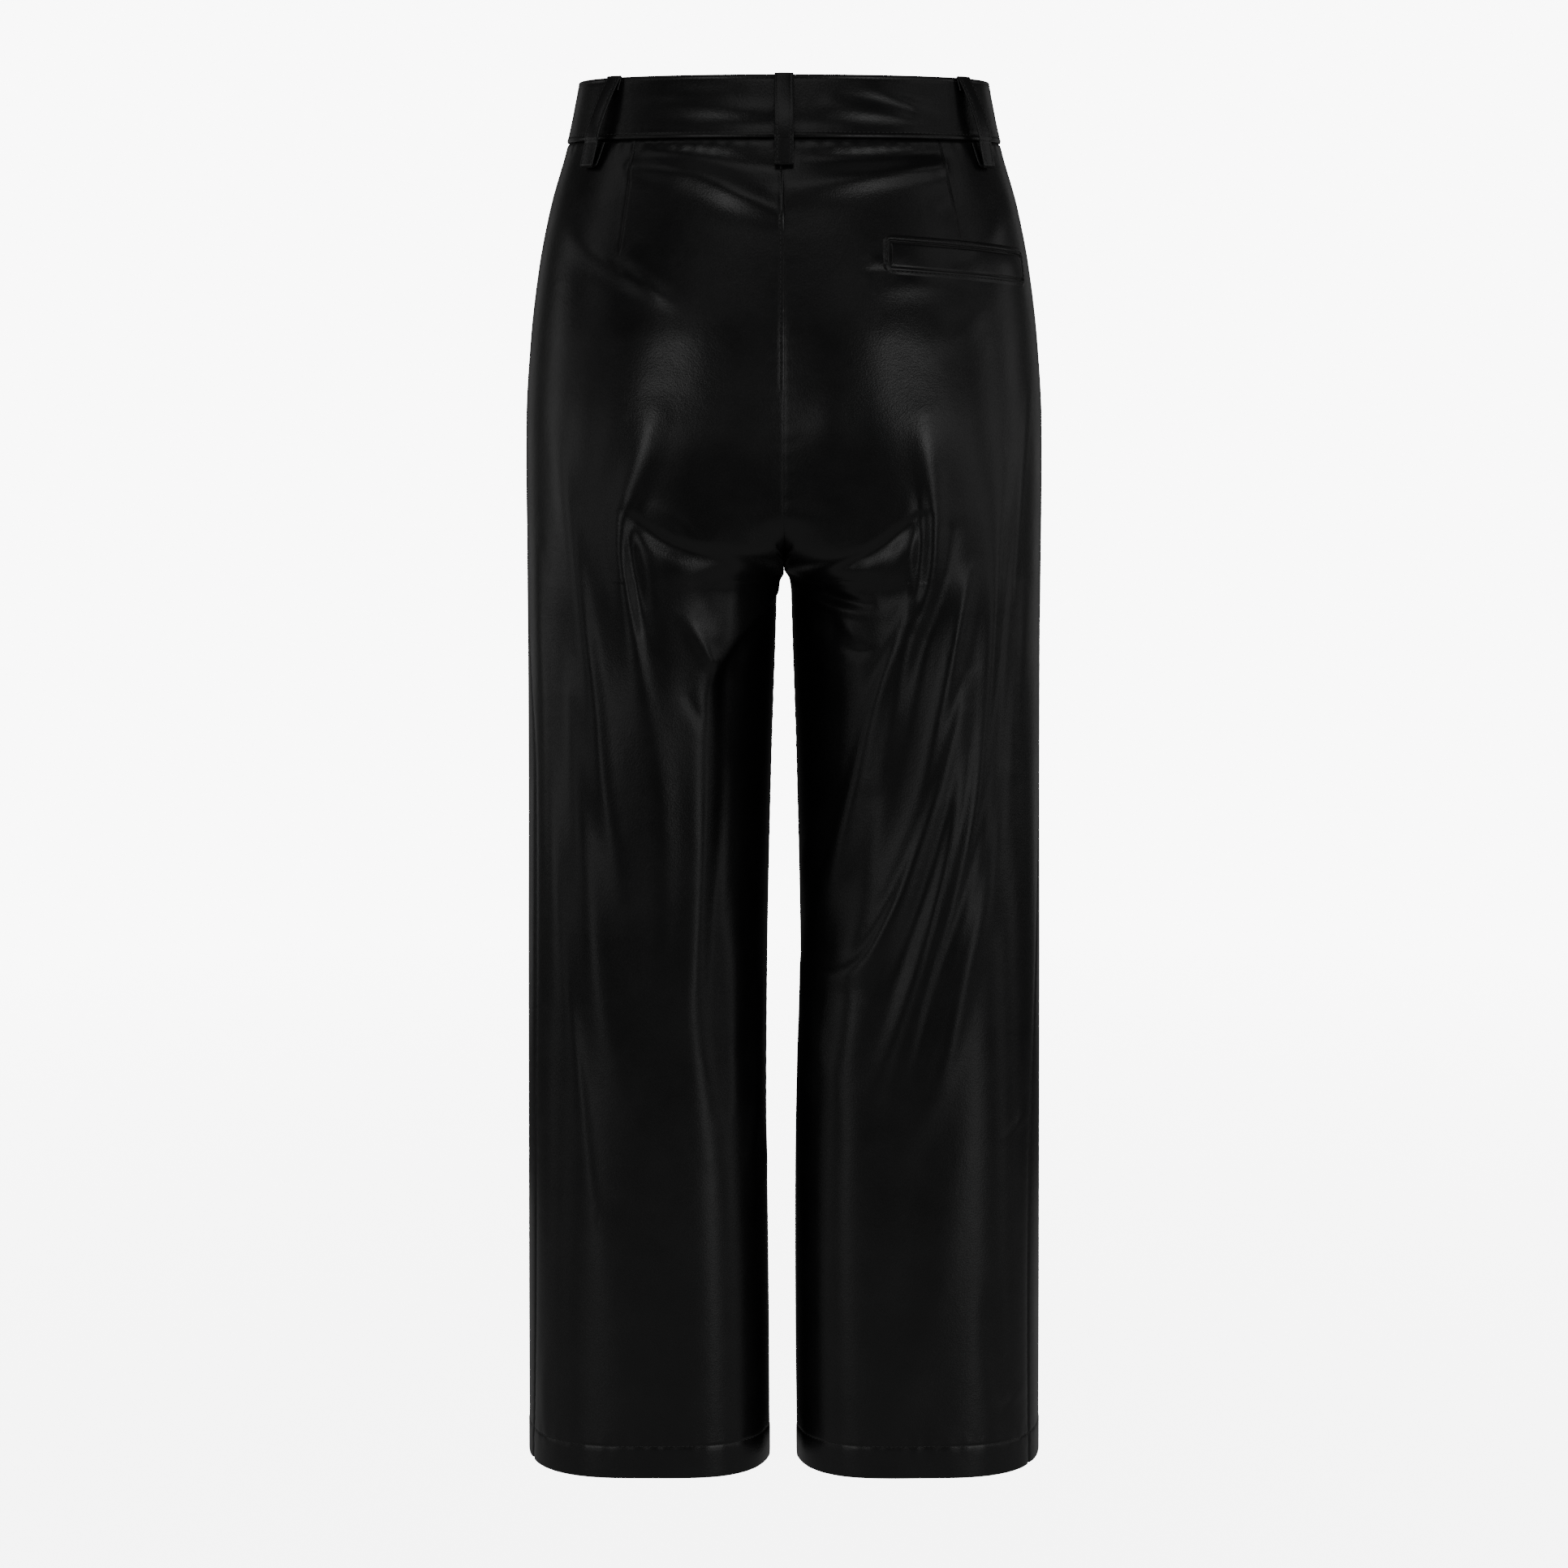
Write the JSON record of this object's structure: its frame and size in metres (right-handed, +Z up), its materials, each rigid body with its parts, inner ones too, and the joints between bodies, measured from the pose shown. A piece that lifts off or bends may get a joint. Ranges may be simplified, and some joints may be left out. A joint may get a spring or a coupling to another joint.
{
  "type": "leather trousers",
  "caption": "Wide-leg cropped leather trousers in their worn form, hollow, with a waistband, belt loops, a fly and a welt pocket.",
  "frame": {"origin": "middle of the waist opening, half way up the waistband, where the wearer's waist holds the trousers", "axes": "+Z up along the legs towards the waist, +X towards the wearer's left, +Y towards the back"},
  "size_m": [0.3508, 0.2468, 0.922],
  "materials": {
    "leather": "smooth black leather look, finely grained, soft sheen",
    "tape": "black woven zip tape",
    "metal": "black lacquered metal",
    "button": "black gloss button"
  },
  "bodies": {
    "root": {"back_left": "leather", "back_right": "leather", "front_left": "leather", "front_right": "leather", "waistband": "leather", "loop_back_centre": "leather", "loop_back_left": "leather", "loop_back_right": "leather", "loop_front_left": "leather", "loop_front_right": "leather", "pocket_welt": "leather", "zip_tape": "tape", "zip_slider": "metal", "waist_button": "button"}
  },
  "joints": []
}
